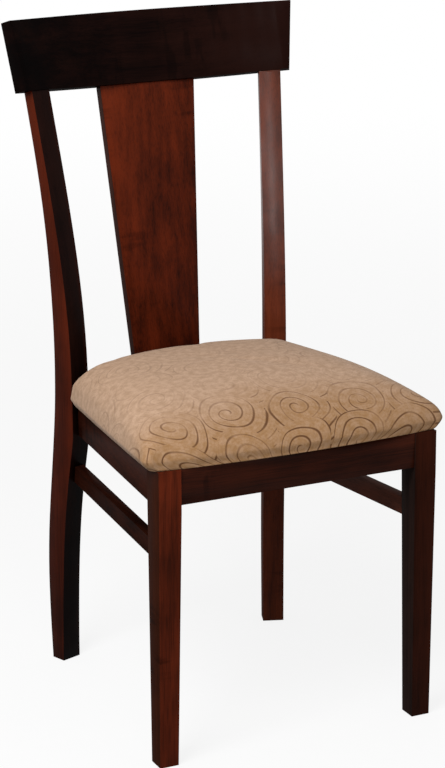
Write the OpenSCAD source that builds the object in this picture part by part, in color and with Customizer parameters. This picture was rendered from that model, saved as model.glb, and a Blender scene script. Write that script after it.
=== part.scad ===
// Dining side chair: solid wood frame with a curved back, a plank splat and a padded seat.
// Millimetres. X to the right seen from the front, Y towards the back, Z up. Left and right in the
// names are as seen from the front too: each left piece is drawn, and its partner mirrors it.
// All frames below have Y = 0 at the front face of the front legs; place() moves the
// finished chair so that the origin is on the floor in the middle of its footprint.

/* [Seat frame] */
// Width over the front legs
front_w = 435; // [400:1:480]
// Height of the seat rails' top plane at the front face of the legs
seat_z = 442; // [420:1:470]
// Slope of the seat down to the back, degrees
seat_tilt = 2.6; // [0:0.1:4]
// Height of the seat rails
rail_h = 50; // [44:1:64]
// Thickness of the seat rails
rail_t = 20; // [18:0.5:22]
// Set-back of the rails behind the outer faces of the front legs
rail_inset = 1; // [0.5:0.5:4]
// Set-back of the side rails behind the outer faces of the back posts
rail_post_inset = 11.2; // [9:0.1:13]

/* [Front legs] */
// Width of a front leg at the rails
leg_w = 34; // [32:0.5:40]
// Depth of a front leg at the rails
leg_d = 39.5; // [36:0.5:46]
// Width of a front leg at the floor
foot_w = 28.5; // [22:0.5:32]
// Depth of a front leg at the floor
foot_d = 29; // [22:0.5:36]
// How far the front face runs back from the rails to the floor
foot_setback = 8.5; // [0:0.5:10]

/* [Back posts] */
// Half the width over the posts' front corners at the seat
post_x = 180; // [170:1:190]
// Distance of those corners behind the legs' front face
post_y = 403; // [390:1:430]
// Width of a post across the curve of the back
post_w = 33; // [30:0.5:36]
// Depth of a post at the floor
post_foot_d = 24.5; // [20:0.5:30]
// Depth of a post at the seat
post_seat_d = 38.5; // [36:0.5:42]
// Depth of a post at the crest rail
post_top_d = 18.5; // [16:0.5:22]
// How far a post's foot stands behind its flat face at the seat
post_kick = 34.5; // [24:0.5:40]
// How far a post's upper end leans back from that face
post_lean = 70.5; // [60:0.5:80]
// Turn of a post in plan, so that it follows the curve of the back, degrees
post_turn = 19.6; // [18:0.1:21]
// Thickness of the curved back rail of the seat
back_rail_t = 22; // [20:0.5:24]
// Set-back of that rail behind the posts' front faces
back_rail_inset = 1; // [1:0.5:4]

/* [Crest rail] */
// Height of the crest rail's lower edge above the floor, in the middle
crest_z = 883.5; // [860:0.5:900]
// How far its middle line stands behind the posts' middle lines
crest_setback = 3.5; // [0:0.5:5]
// Height of the crest rail in the middle, along its face
crest_h = 110; // [100:1:125]
// Radius of its hollow front face
crest_r = 490; // [470:5:520]
// Lean of its front face, degrees
crest_rake = 18; // [16:0.5:20]
// Thickness at its lower edge
crest_t_low = 24; // [22:0.5:27]
// Thickness at its upper edge in the middle
crest_t_top = 16.5; // [14:0.5:20]
// Width over its lower corners
crest_w = 431; // [428:0.5:440]
// Angle at which its ends spread upwards, degrees
crest_flare = 9; // [4:0.5:12]
// Rise of the upper edge from its ends to the middle
crest_crown = 11.5; // [6:0.5:16]
// Rise of the lower edge from its ends to the middle
crest_arch = 4.5; // [2:0.5:8]

/* [Splat] */
// Width of the splat at the crest rail
splat_w_top = 156; // [130:1:170]
// Width of the splat at the back seat rail
splat_w_low = 104; // [85:1:120]
// Thickness of the splat
splat_t = 16.5; // [14:0.5:17]
// Set-back of the splat's face behind the crest rail's lower front edge
splat_inset = 3; // [2:0.5:4]
// Set-back of the splat's face behind the back seat rail's front face
splat_ledge = 4; // [2:0.5:4]

/* [Stretchers] */
// Height of the stretchers
stretcher_h = 26; // [22:1:30]
// Thickness of the stretchers
stretcher_t = 15.5; // [14:0.5:18]
// Height of their lower edge above the floor at the front
stretcher_z = 303; // [260:1:320]
// Set-back of their outer faces behind the legs' outer faces
stretcher_inset = 8.7; // [7:0.1:10]
// Set-back of their outer faces behind the posts' outer faces
stretcher_post_inset = 11.8; // [9:0.1:13]
// Fall of the stretchers to the back, degrees
stretcher_fall = 1.1; // [0:0.1:2]

/* [Cushion] */
// Height of the cushion's crown above the rails
cushion_h = 84; // [76:1:96]
// Height at which its sides turn over into its top
cushion_edge_h = 74; // [60:1:76]
// How far its sides swell past the side rails
cushion_swell = 18.5; // [14:0.5:24]
// How far the middle of its front swells past the legs
cushion_front = 12; // [10:0.5:18]
// Set-back of the ends of its front behind the middle
cushion_bow = 14; // [6:1:18]
// Radius of its front corners in plan
cushion_corner = 15; // [12:1:40]
// How far its top falls from the crown to the front
cushion_fall = 33; // [10:1:40]
// Overhang of the seat panel and its fabric past the side rails
panel_side_lip = 6.5; // [3:0.5:9]
// Overhang of the seat panel and its fabric past the legs, in the middle of the front
panel_front_lip = 9; // [4:0.5:10]
// Thickness of the plywood seat panel
panel_t = 12; // [9:0.5:15]
// Thickness of the fabric cover
fabric_t = 1.2; // [1:0.1:1.6]
// Width of the fabric turned in under the panel at the front and the sides
fabric_hem = 44; // [40:1:50]
// Width of the fabric turned in under the panel at the back
fabric_hem_rear = 21; // [20:1:24]

/* [Joints] */
// Diameter of the dowels
dowel_d = 8; // [7:0.5:8]
// Thickness of every tenon
tenon_t = 8; // [7:0.5:9]
// Glue gap on each cheek of a tenon
glue_gap = 0.1; // [0.1:0.05:0.2]
// Diameter of the wood screws
screw_d = 4; // [3.5:0.1:4.5]

/* [Hidden] */

wood_red = "#4a1c10";
wood_dark = "#2f130c";
$fn = 48;
big_fn = 720;   // sides on curves of more than 400 mm radius
far = 300;      // reach of a cutting block past what it cuts

// Where the seat plane is at a distance y behind the legs' front face
function seat_at(y) = seat_z - y * tan(seat_tilt);

// Side curves of a post. Each knot is [share of the height, share of the change in depth, slope].
// The front face is flat where the seat rails meet it.
flat_low = seat_at(post_y) - rail_h - 1.7;
flat_top = seat_z + 4;
function knots(shares, z0, z1, d0, d1) =
    [for (k = shares) [z0 + (z1 - z0) * k[0], d0 + (d1 - d0) * k[1], (d1 - d0) / (z1 - z0) * k[2]]];
front_low = knots([[0, 0, 0.11], [0.323, 0.101, 0.49], [0.645, 0.377, 1.29], [0.833, 0.681, 1.78],
                   [1, 1, 1.29]], 0, flat_low, post_kick, 0);
front_up = knots([[0, 0, 0], [0.262, 0.094, 0.68], [0.537, 0.36, 1.21], [0.813, 0.73, 1.46],
                  [1.138, 1.2, 1.46]], flat_top, crest_z, 0, post_lean);
rear_low = knots([[0, 0, -1.2], [0.27, -0.215, -0.22], [0.54, 0.05, 2.16], [0.74, 0.535, 2.39],
                  [0.94, 0.945, 1.41], [1, 1, 0.86]], 0, flat_top, post_kick + post_foot_d, post_seat_d);
rear_up = knots([[0, 0, -0.35], [0.125, -0.013, 0.04], [0.4, 0.107, 0.7], [0.675, 0.412, 1.48],
                 [0.95, 0.902, 1.95], [1.138, 1.27, 1.98]],
                flat_top, crest_z, post_seat_d, post_lean + post_top_d);

// Depth at height z on the curve through the knots k
function curve_at(k, z, i = 0) = i < len(k) - 2 && z > k[i + 1][0] ? curve_at(k, z, i + 1)
    : let (a = k[i], b = k[i + 1], d = b[0] - a[0], u = (z - a[0]) / d)
        (2*u*u*u - 3*u*u + 1) * a[1] + (u*u*u - 2*u*u + u) * d * a[2]
        + (3*u*u - 2*u*u*u) * b[1] + (u*u*u - u*u) * d * b[2];
function post_front(z) = z <= flat_low ? curve_at(front_low, z) : z < flat_top ? 0 : curve_at(front_up, z);
function post_rear(z) = curve_at(z <= flat_top ? rear_low : rear_up, z);
function heights(z0, z1, steps) = [for (i = [0 : steps - 1]) z0 + (z1 - z0) * i / steps];
post_end = front_up[len(front_up) - 1][0];
post_heights = concat(heights(0, flat_low, 16), heights(flat_low, flat_top, 4),
                      heights(flat_top, post_end, 18), [post_end]);
post_face = [for (z = post_heights) [post_front(z), z]];
post_rear_face = [for (z = post_heights) [post_rear(z), z]];
function flip(list) = [for (i = [len(list) - 1 : -1 : 0]) list[i]];

// Curved back: the back seat rail stands square on the posts' inner faces, which fixes the
// centre and radius of its curve.
post_in = [-post_x + post_w * cos(post_turn), post_y + post_w * sin(post_turn)];
back_yc = post_in[1] + post_in[0] / tan(post_turn);
back_r = -post_in[0] / sin(post_turn) + back_rail_inset;
back_rail_z = seat_at(back_yc + back_r) - rail_h;

// Crest rail: its dowels stand in the middle of each post's upper end
post_top_depth = (post_front(crest_z) + post_rear(crest_z)) / 2;
post_top = [post_x - post_w / 2 * cos(post_turn) + post_top_depth * sin(post_turn),
            post_y + post_w / 2 * sin(post_turn) + post_top_depth * cos(post_turn)];
crest_dowel_r = crest_r + crest_t_low / 2 - crest_setback;
crest_post_turn = asin(post_top[0] / crest_dowel_r);
crest_y = post_top[1] + (crest_r - crest_dowel_r * cos(crest_post_turn)) * cos(crest_rake);
crest_low_r = (pow(crest_w / 2, 2) + crest_arch * crest_arch) / (2 * crest_arch);
crest_top_w = crest_w + 2 * crest_h * tan(crest_flare);
crest_top_r = (pow(crest_top_w / 2, 2) + crest_crown * crest_crown) / (2 * crest_crown);
crest_end_turn = asin(crest_w / 2 / crest_r);
crest_wedge = atan2(crest_t_low - crest_t_top, crest_h);
crest_dowel_len = 44;
crest_dowel_step = 14;

// Splat: a plane through its two shoulders
splat_low_y = back_yc + back_r + splat_ledge;
splat_low_z = seat_at(splat_low_y);
splat_top_y = crest_y + splat_inset;
splat_rake = atan2(splat_top_y - splat_low_y, crest_z - splat_low_z);
splat_len = norm([splat_top_y - splat_low_y, crest_z - splat_low_z]);
splat_tenon = 16;
splat_shoulder = 12;

// Where a member's outer face meets a left post's front face: that face stands depth behind the
// post's flat, and the member's inset inside the post's outer face
post_along = [cos(post_turn), sin(post_turn)];
post_normal = [-sin(post_turn), cos(post_turn)];
function on_post(inset, depth) = [-post_x, post_y] + inset * post_along + depth * post_normal;
function run_in(from, to) = atan((to[0] - from[0]) / (to[1] - from[1]));

// Side rails and stretchers run from a front leg to a post
rail_taper = run_in([-front_w / 2 + rail_inset, leg_d], on_post(rail_post_inset, 0));
stretcher_depth = post_front(stretcher_z);
stretcher_taper = run_in([-front_w / 2 + stretcher_inset, leg_d],
                         on_post(stretcher_post_inset, stretcher_depth));
stretcher_start = [-front_w / 2 + stretcher_inset + stretcher_t / 2, leg_d];
stretcher_len = ((on_post(0, stretcher_depth) - stretcher_start) * post_normal)
    / cos(stretcher_taper + post_turn);

// Front legs: plumb at the rails, tapered below them
leg_taper_z = seat_at(leg_d) - rail_h - 10;
foot_back = foot_setback + foot_d;

// Seat rails
front_tenon_len = leg_w / 2 - 1;
side_tenon_len = 22;
tenon_h = rail_h - 14;
dowel_len = 36;
dowel_in_post = 14;
dowel_lean = 0.33;  // share of the turn from a member to the post's face that its dowels take
side_dowel_x = 20;
side_dowel_drops = [8.5, 31];
back_dowel_drops = [20, 42];

// Cushion, in plan on the seat plane
seat_front = -cushion_front;
seat_rear_r = norm(post_in - [0, back_yc]) - 3;
seat_rear = back_yc + seat_rear_r;
side_line = front_w / 2 - rail_inset + cushion_swell;
side_bow = 2;
rear_lip = 1;
cushion_rear_corner = 10;
crown_y = 240;
roundness = 5.5;    // higher values make the sides steeper and the top flatter
fall_power = 2.5;
corner_sag = 3;
cover_gap = 0.3;
panel_top = fabric_t + panel_t;
widest_h = panel_top + 2;

// Corner blocks and their screws
block_h = 34;
block_drop = 3;
screw_clearance = 0.2;
screw_head_d = 2 * screw_d;
screw_head_h = 2.4;
screw_fn = 12;          // sides of the screws and their holes
screw_grip = 14;        // of a block under a screw's head
screw_bite = 14;        // into the rail
seat_screw_grip = 20;
seat_screw_cover = 3;   // wood left over the point of a seat screw

// Overall depth, for the origin
crest_back = crest_y + crest_h * sin(crest_rake) + crest_t_top * cos(crest_rake);
cushion_nose = seat_front * cos(seat_tilt) + widest_h * sin(seat_tilt);
origin_y = (cushion_nose + crest_back) / 2;

module place() translate([0, -origin_y, 0]) children();
module other_side() mirror([1, 0, 0]) children();
module on_seat() translate([0, 0, seat_z]) rotate([-seat_tilt, 0, 0]) children();
module at_post() translate([-post_x, post_y, 0]) rotate([0, 0, post_turn]) children();
module on_crest() translate([0, crest_y, crest_z]) rotate([-crest_rake, 0, 0]) children();
module on_splat() translate([0, splat_low_y, splat_low_z]) rotate([-splat_rake, 0, 0]) children();

// Everything above the rails' top plane
module above_seat() on_seat() translate([-far, -far / 2, 0]) cube([2 * far, 3 * far, far]);

// Everything on the crest rail's side of its lower edge
module above_crest_edge() on_crest() difference() {
    translate([-far, -far / 2, -far / 5]) cube([2 * far, far, 2 * far]);
    translate([0, 0, -crest_low_r]) rotate([90, 0, 0])
        cylinder(r = crest_low_r, h = 2 * far, center = true, $fn = 2 * big_fn);
}

// Front leg
module leg_blank() {
    intersection() {
        translate([-front_w / 2, 0, 0]) rotate([90, 0, 90]) linear_extrude(leg_w)
            polygon([[foot_setback, 0], [foot_back, 0], [leg_d, leg_taper_z],
                     [leg_d, seat_z], [0, seat_z], [0, leg_taper_z]]);
        translate([-front_w / 2, leg_d, 0]) rotate([90, 0, 0]) linear_extrude(leg_d)
            polygon([[0, 0], [foot_w, 0], [leg_w, leg_taper_z], [leg_w, seat_z], [0, seat_z]]);
    }
}

module leg() difference() {
    leg_blank();
    above_seat();
    front_tenon(glue_gap);
    side_tenon(glue_gap);
    stretcher_front_dowel();
}

module left_front_leg() color(wood_dark) leg();
module right_front_leg() color(wood_dark) other_side() leg();

// Tenon of the front rail in a leg, and the mortise when grown by gap
module front_tenon(gap = 0) {
    y = rail_inset + 1 + rail_t / 2;
    translate([-front_w / 2 + leg_w - front_tenon_len - 5 * gap, y - tenon_t / 2 - gap,
               seat_at(y) - 7 - tenon_h - gap])
        cube([front_tenon_len + 5 * gap + (gap > 0 ? 1 : 0.01), tenon_t + 2 * gap, tenon_h + 2 * gap]);
}

// Tenon of a side rail in a leg, straight back to front
module side_tenon(gap = 0) {
    x = -front_w / 2 + rail_inset + rail_t / 2;
    translate([x - tenon_t / 2 - gap, leg_d - side_tenon_len - 5 * gap,
               seat_at(leg_d) - 7 - tenon_h - gap])
        cube([tenon_t + 2 * gap, side_tenon_len + 5 * gap + (gap > 0 ? 1 : 3), tenon_h + 2 * gap]);
}

module front_seat_rail() color(wood_dark) {
    rail_len = front_w - 2 * leg_w;
    low = seat_at(leg_d) - rail_h;
    difference() {
        translate([-rail_len / 2, rail_inset + 1, low]) cube([rail_len, rail_t, 2 * rail_h]);
        above_seat();
        block_screws();
        other_side() block_screws();
    }
    front_tenon();
    other_side() front_tenon();
}

// Side rail: straight, running in towards the back, ended on the leg and on the post
module side_rail() {
    difference() {
        side_rail_blank();
        translate([-front_w, -far, 0]) cube([front_w, far + leg_d, 3 * far]);
        at_post() translate([-far / 2, 0, flat_low - far / 2]) cube(far);
        side_dowels();
        block_screws();
    }
    side_tenon();
}

module left_seat_rail() color(wood_red) side_rail();
module right_seat_rail() color(wood_red) other_side() side_rail();

// Two dowels from a side rail into a post, turned part of the way from the rail to the post
module side_dowels() {
    for (drop = side_dowel_drops) at_post()
        translate([side_dowel_x, 0, seat_at(post_y) - drop])
            rotate([0, 0, (dowel_lean - 1) * (rail_taper + post_turn)])
            rotate([90, 0, 0]) translate([0, 0, -dowel_in_post])
                cylinder(d = dowel_d, h = dowel_len);
}

// Two dowels from the curved back rail into a post, square to the post's inner face
module back_dowels() {
    for (drop = back_dowel_drops) at_post()
        translate([post_w - dowel_in_post, back_rail_inset + back_rail_t / 2, seat_at(post_in[1]) - drop])
            rotate([0, 90, 0]) cylinder(d = dowel_d, h = dowel_len);
}

module back_frame_dowels() color("burlywood") {
    side_dowels();
    back_dowels();
    other_side() side_dowels();
    other_side() back_dowels();
}

module back_seat_rail() color(wood_dark) difference() {
    back_rail_blank();
    above_seat();
    back_dowels();
    other_side() back_dowels();
    splat_low_tenon(glue_gap);
    block_screws();
    other_side() block_screws();
}

// Back post
module post_blank() at_post() rotate([90, 0, 90]) linear_extrude(post_w)
    polygon(concat(post_face, flip(post_rear_face)));

module post() difference() {
    post_blank();
    above_crest_edge();
    side_dowels();
    back_dowels();
    stretcher_rear_dowel();
    crest_dowel_pair();
}

module left_back_post() color(wood_red) post();
module right_back_post() color(wood_red) other_side() post();

// Everything behind a post's front face, to end a stretcher on its curve
module behind_post() at_post() translate([-far / 2, 0, 0]) rotate([90, 0, 90]) linear_extrude(far)
    polygon(concat(post_face, [[far, post_face[len(post_face) - 1][1]], [far, 0]]));

// Stretcher
module stretcher_frame()
    translate([-front_w / 2 + stretcher_inset, leg_d, stretcher_z]) rotate([0, 0, -stretcher_taper])
        rotate([-stretcher_fall, 0, 0]) children();

module stretcher_front_dowel() stretcher_frame()
    translate([stretcher_t / 2, -dowel_len / 2, stretcher_h / 2])
        rotate([-90, 0, 0]) cylinder(d = dowel_d, h = dowel_len);

module stretcher_rear_dowel() stretcher_frame()
    translate([stretcher_t / 2, stretcher_len, stretcher_h / 2])
        rotate([0, 0, dowel_lean * (stretcher_taper + post_turn)]) translate([0, -dowel_len / 2, 0])
            rotate([-90, 0, 0]) cylinder(d = dowel_d, h = dowel_len);

module stretcher() difference() {
    stretcher_frame() translate([0, -20, 0]) cube([stretcher_t, post_y + 20, stretcher_h]);
    leg_front_side();
    behind_post();
    stretcher_front_dowel();
    stretcher_rear_dowel();
}

// Everything in front of a leg's rear face, to end a stretcher on it
module leg_front_side() translate([-front_w, 0, 0]) rotate([90, 0, 90]) linear_extrude(front_w)
    polygon([[-far, 0], [foot_back, 0], [leg_d, leg_taper_z], [-far, leg_taper_z]]);

module left_stretcher() color(wood_red) stretcher();
module right_stretcher() color(wood_red) other_side() stretcher();

module stretcher_dowels() color("burlywood") {
    stretcher_front_dowel();
    stretcher_rear_dowel();
    other_side() stretcher_front_dowel();
    other_side() stretcher_rear_dowel();
}

// Crest rail seen square to its face: X across, Y up
module crest_outline() difference() {
    intersection() {
        translate([-far, -crest_h]) square([2 * far, 3 * crest_h]);
        translate([0, crest_h - crest_top_r]) circle(r = crest_top_r, $fn = 2 * big_fn);
    }
    translate([0, -crest_low_r]) circle(r = crest_low_r, $fn = 2 * big_fn);
}

// What lies past the rail's left end, which is cut square to the curve and spreads upwards
module past_crest_end() translate([0, -crest_r, 0]) rotate([0, 0, crest_end_turn])
    translate([0, crest_r, -crest_arch]) rotate([0, -crest_flare, 0])
        translate([-far, -far / 2, -far / 2]) cube([far, far, 2 * far]);

module crest_rail() color(wood_dark) difference() {
    on_crest() difference() {
        intersection() {
            translate([0, far / 2, 0]) rotate([90, 0, 0]) linear_extrude(far) crest_outline();
            translate([0, -crest_r, 0]) rotate([crest_wedge, 0, 0])
                cylinder(r = (crest_r + crest_t_low) * cos(crest_wedge), h = 2 * far, center = true,
                         $fn = big_fn);
        }
        translate([0, -crest_r, 0]) cylinder(r = crest_r, h = 3 * far, center = true, $fn = big_fn);
        past_crest_end();
        other_side() past_crest_end();
    }
    crest_dowel_pair();
    other_side() crest_dowel_pair();
    splat_top_tenon(glue_gap);
}

// Two dowels side by side from a post up into the crest rail
module crest_dowel_pair() {
    step = crest_dowel_step / crest_r * 180 / PI;
    for (k = [-0.5, 0.5]) on_crest() translate([0, -crest_r, 0])
        rotate([0, 0, crest_post_turn + k * step]) translate([0, crest_dowel_r, 0])
            rotate([crest_wedge / 2, 0, 0]) translate([0, 0, -crest_dowel_len / 2])
                cylinder(d = dowel_d, h = crest_dowel_len);
}

module crest_dowels() color("burlywood") {
    crest_dowel_pair();
    other_side() crest_dowel_pair();
}

// Splat with a tenon at each end
module splat_plank(t, inset, low, high) {
    w = function (h) splat_w_low / 2 + (splat_w_top - splat_w_low) / 2 * h / splat_len - inset;
    on_splat() translate([0, t / 2 + splat_t / 2, 0]) rotate([90, 0, 0]) linear_extrude(t)
        polygon([[-w(low), low], [w(low), low], [w(high), high], [-w(high), high]]);
}

module splat_low_tenon(gap = 0)
    splat_plank(tenon_t + 2 * gap, splat_shoulder - gap, -splat_tenon - 5 * gap, gap > 0 ? 2 : 6);
module splat_top_tenon(gap = 0)
    splat_plank(tenon_t + 2 * gap, splat_shoulder - gap, splat_len - (gap > 0 ? 12 : 20),
                splat_len + splat_tenon + 5 * gap);

module splat() color(wood_red) {
    difference() {
        splat_plank(splat_t, 0, -10, splat_len + 20);
        above_crest_edge();
        on_seat() translate([-far, 0, -far]) cube([2 * far, 2 * far, far]);
    }
    splat_low_tenon();
    splat_top_tenon();
}

// Corner blocks: braces across the corners, fitted to the inner faces of the rails
front_inner = rail_inset + 1 + rail_t;
side_inner_x = -front_w / 2 + rail_inset + rail_t / cos(rail_taper);
function side_inner(y) = side_inner_x + (y - leg_d) * tan(rail_taper);
function back_inner(x) = back_yc + sqrt(back_r * back_r - x * x);
function on_side(y) = [side_inner(y), y];
function on_back(x) = [x, back_inner(x)];
function mean(points) = [for (k = [0, 1]) [for (p = points) p[k]] * [for (p = points) 1 / len(points)]];

// The four corners of each left-hand block, two on each rail
block_foot = 44;    // length of a block along each rail
front_reach = 52;   // clear length of each rail between a front leg and its block
back_reach = 46;    // clear length of the side rail between a post and its block
front_x = side_inner(front_inner) + front_reach;
front_y = front_inner + front_reach;
back_x = post_in[0] + back_reach - 8;
back_y = post_y - back_reach;
front_corners = [[front_x, front_inner], [front_x + block_foot, front_inner],
                 on_side(front_y + block_foot), on_side(front_y)];
back_corners = [on_back(back_x), on_side(back_y),
                on_side(back_y - block_foot), on_back(back_x + block_foot)];

// Plan of a block from its corners, run on past both rails' faces by into
into = 4;
module front_block_plan() polygon([front_corners[0], front_corners[0] - [0, into],
    front_corners[1] - [0, into], front_corners[1], front_corners[2],
    front_corners[2] - [into, 0], front_corners[3] - [into, 0], front_corners[3]]);
module back_block_plan() polygon([back_corners[0], back_corners[1], back_corners[1] - [into, 0],
    back_corners[2] - [into, 0], back_corners[2], back_corners[3],
    back_corners[3] + [0, into], back_corners[0] + [0, into]]);

module side_rail_blank() on_seat() translate([0, 0, -rail_h]) linear_extrude(rail_h)
    translate([-front_w / 2 + rail_inset, leg_d]) rotate(-rail_taper) translate([0, -20])
        square([rail_t, post_y + 20]);

module front_rail_blank() translate([-far, front_inner - rail_t, 0]) cube([2 * far, rail_t, seat_z]);

module back_rail_blank() translate([0, back_yc, back_rail_z]) rotate([0, 0, 90 - post_turn])
    rotate_extrude(angle = 2 * post_turn, $fn = big_fn) translate([back_r, 0])
        square([back_rail_t, 2 * rail_h]);

// A block from its plan, with its top block_drop under the rails near y
module corner_block(y) color("tan") difference() {
    translate([0, 0, seat_at(y) - block_drop - block_h]) linear_extrude(2 * block_h) children();
    on_seat() translate([-far, -far, -block_drop]) cube([2 * far, 4 * far, far]);
    side_rail_blank();
    front_rail_blank();
    back_rail_blank();
    block_screws(screw_clearance);
    seat_screw_pair(screw_clearance);
}

module left_front_corner_block() corner_block(front_y) front_block_plan();
module right_front_corner_block() other_side() left_front_corner_block();
module left_back_corner_block() corner_block(back_y) back_block_plan();
module right_back_corner_block() other_side() left_back_corner_block();

// Screw along +Z with the underside of its head at the origin
module wood_screw(len) difference() {
    union() {
        cylinder(d = screw_d, h = len, $fn = screw_fn);
        translate([0, 0, -screw_head_h]) cylinder(d = screw_head_d, h = screw_head_h, $fn = screw_fn);
    }
    for (turn = [0, 90]) rotate([0, 0, turn]) translate([-screw_d / 2, -0.5, -screw_head_h])
        cube([screw_d, 1, screw_head_h / 2]);
}

// Clearance hole for that screw, open behind its head
module screw_hole(len, gap) {
    cylinder(d = screw_d + 2 * gap, h = len, $fn = screw_fn);
    translate([0, 0, -block_h * 2])
        cylinder(d = screw_head_d + 4 * gap, h = block_h * 2, $fn = screw_fn);
}

// A screw, or its hole when gap is given
module screw(len, gap) {
    if (gap > 0) screw_hole(len, gap);
    else wood_screw(len);
}

// Screws of the left-hand blocks into the rails: point on the rail's face, direction in plan, and
// the place along the seat whose height they take
screw_share = 0.4;
screw_step = block_foot * screw_share;
block_screw_spots = [
    [[front_x + screw_step, front_inner], -90, front_y],
    [on_side(front_y + screw_step), 180 - rail_taper, front_y],
    [on_side(back_y - screw_step), 180 - rail_taper, back_y],
    [on_back(back_x + screw_step), 90 - asin((back_x + screw_step) / back_r), back_y]];

module block_screws(gap = 0) {
    for (spot = block_screw_spots)
        translate([spot[0][0], spot[0][1], seat_at(spot[2]) - block_drop - block_h / 2])
            rotate([0, 0, spot[1]]) translate([-screw_grip, 0, 0]) rotate([0, 90, 0])
                screw(screw_grip + screw_bite, gap);
}

module corner_block_screws() color("silver") {
    block_screws();
    other_side() block_screws();
}

// Screws up through the middle of each block into the seat panel, square to the panel
module seat_screw_pair(gap = 0) {
    for (spot = [mean(front_corners), mean(back_corners)]) on_seat()
        translate([spot[0], spot[1], -block_drop - seat_screw_grip])
            screw(block_drop + seat_screw_grip + panel_top - seat_screw_cover, gap);
}

module seat_screws() color("silver") {
    seat_screw_pair();
    other_side() seat_screw_pair();
}

// Cushion outline in plan: a bowed front, sides that run in with the rails and a back that follows
// the curve of the posts, as a loop of points from the middle of the front
corner_steps = 3;
edge_steps = 4;
half_depth = (seat_rear - seat_front) / 2;
function side_x(y) = side_line - (y - leg_d) * tan(rail_taper)
    - side_bow * pow((y - seat_front - half_depth) / half_depth, 2);
function arc_points(centre, r, a0, a1) = [for (i = [0 : corner_steps])
    let (a = a0 + (a1 - a0) * i / corner_steps) centre + r * [cos(a), sin(a)]];
function corner_x(y, r) = side_x(y) - r / cos(rail_taper);

front_corner_y = seat_front + cushion_bow + cushion_corner;
front_centre = [corner_x(front_corner_y, cushion_corner), front_corner_y];
rear_in = seat_rear_r - cushion_rear_corner;
function rear_curve_y(x) = back_yc + sqrt(rear_in * rear_in - x * x);
function rear_corner_y(y, tries = 6) = tries == 0 ? y
    : rear_corner_y(rear_curve_y(corner_x(y, cushion_rear_corner)), tries - 1);
rear_y = rear_corner_y(post_y);
rear_centre = [corner_x(rear_y, cushion_rear_corner), rear_y];
rear_turn = asin(rear_centre[0] / rear_in);
half_outline = concat(
    [for (i = [0 : edge_steps - 1]) let (u = i / edge_steps)
        [front_centre[0] * u, seat_front + cushion_bow * u * u]],
    arc_points(front_centre, cushion_corner, -90, rail_taper),
    [for (i = [1 : edge_steps - 1]) let (y = front_centre[1] + (rear_y - front_centre[1]) * i / edge_steps)
        [side_x(y), y]],
    arc_points(rear_centre, cushion_rear_corner, rail_taper, 90 - rear_turn),
    [for (i = [edge_steps - 1 : -1 : 0]) let (a = rear_turn * i / edge_steps)
        [0, back_yc] + seat_rear_r * [sin(a), cos(a)]]);
outline = concat(half_outline,
    [for (i = [len(half_outline) - 2 : -1 : 1]) [-half_outline[i][0], half_outline[i][1]]]);

// A point of the outline drawn in by d = [at the sides, at the front, at the rear]
function drawn(p, d) = [p[0] * (1 - d[0] / side_line),
    seat_front + d[1] + (p[1] - seat_front) * (1 - (d[1] + d[2]) / (2 * half_depth))];

// How far the finished top lies below the even dome: a fall to the front, and sagging corners
function lowered(p, q) =
    cushion_fall * pow(max(0, crown_y - q[1]) / (crown_y - seat_front), fall_power)
    + corner_sag * pow(p[0] / side_line * (p[1] - seat_front - half_depth) / half_depth, 2);

// Ring round the cushion: drawn in by d, at height h, with that share of the lowering
function ring(d, h, share = 0) =
    [for (p = outline) let (q = drawn(p, d)) [q[0], q[1], h - share * lowered(p, q)]];

even = [1, 1, 1];
hem_line = [cushion_swell - panel_side_lip, cushion_front - panel_front_lip, rear_lip];
crown_line = [side_line, crown_y - seat_front, seat_rear - crown_y];

// Rings of a skin that lies t inside the cushion's surface, from the rails up
function wall_ring(t, u, low = 0) =
    ring((1 - sin(90 * u)) * hem_line + t * even, max(low, widest_h * u));
function dome_ring(t, q) = let (share = sqrt(1 - pow(1 - q, roundness)))
    ring(q * crown_line + t * even, widest_h + (cushion_edge_h - widest_h) * share
         + (cushion_h - cushion_edge_h) * (1 - pow(1 - q, 2)) - t * share, share);
function crown_point(t) = [0, crown_y, cushion_h - t];
panel_share = panel_top / widest_h;
wall_shares = [0, 1 / 3, 2 / 3, panel_share];
roll_steps = 7;
dome_shares = concat([for (i = [0 : roll_steps]) 1 - pow(cos(86 * i / roll_steps), 2 / roundness)], [0.82]);
function dome_rings(t) = [for (q = flip(dome_shares)) dome_ring(t, q)];

// Closed surface through rings that start round the point top and end round the point base. From
// the ring numbered back on, its facets are split the other way, to match those of the outside.
module pillow(rings, top, base, back = 99) {
    n = len(outline);
    last = len(rings) * n - n;
    polyhedron(points = concat([for (r = rings) each r], [top, base]), faces = concat(
        [for (i = [0 : n - 1]) [len(rings) * n, (i + 1) % n, i]],
        [for (k = [0 : n : last - n], i = [0 : n - 1]) let (j = (i + 1) % n)
            each k < back * n ? [[k + i, k + j, k + i + n], [k + j, k + j + n, k + i + n]]
                : [[k + i, k + j, k + j + n], [k + i, k + j + n, k + i + n]]],
        [for (i = [0 : n - 1]) [len(rings) * n + 1, last + i, last + (i + 1) % n]]));
}

module seat_foam() color("beige") on_seat() {
    t = fabric_t + cover_gap;
    pillow(concat(dome_rings(t), [wall_ring(t, panel_share)]), crown_point(t), [0, crown_y, panel_top]);
}

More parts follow.
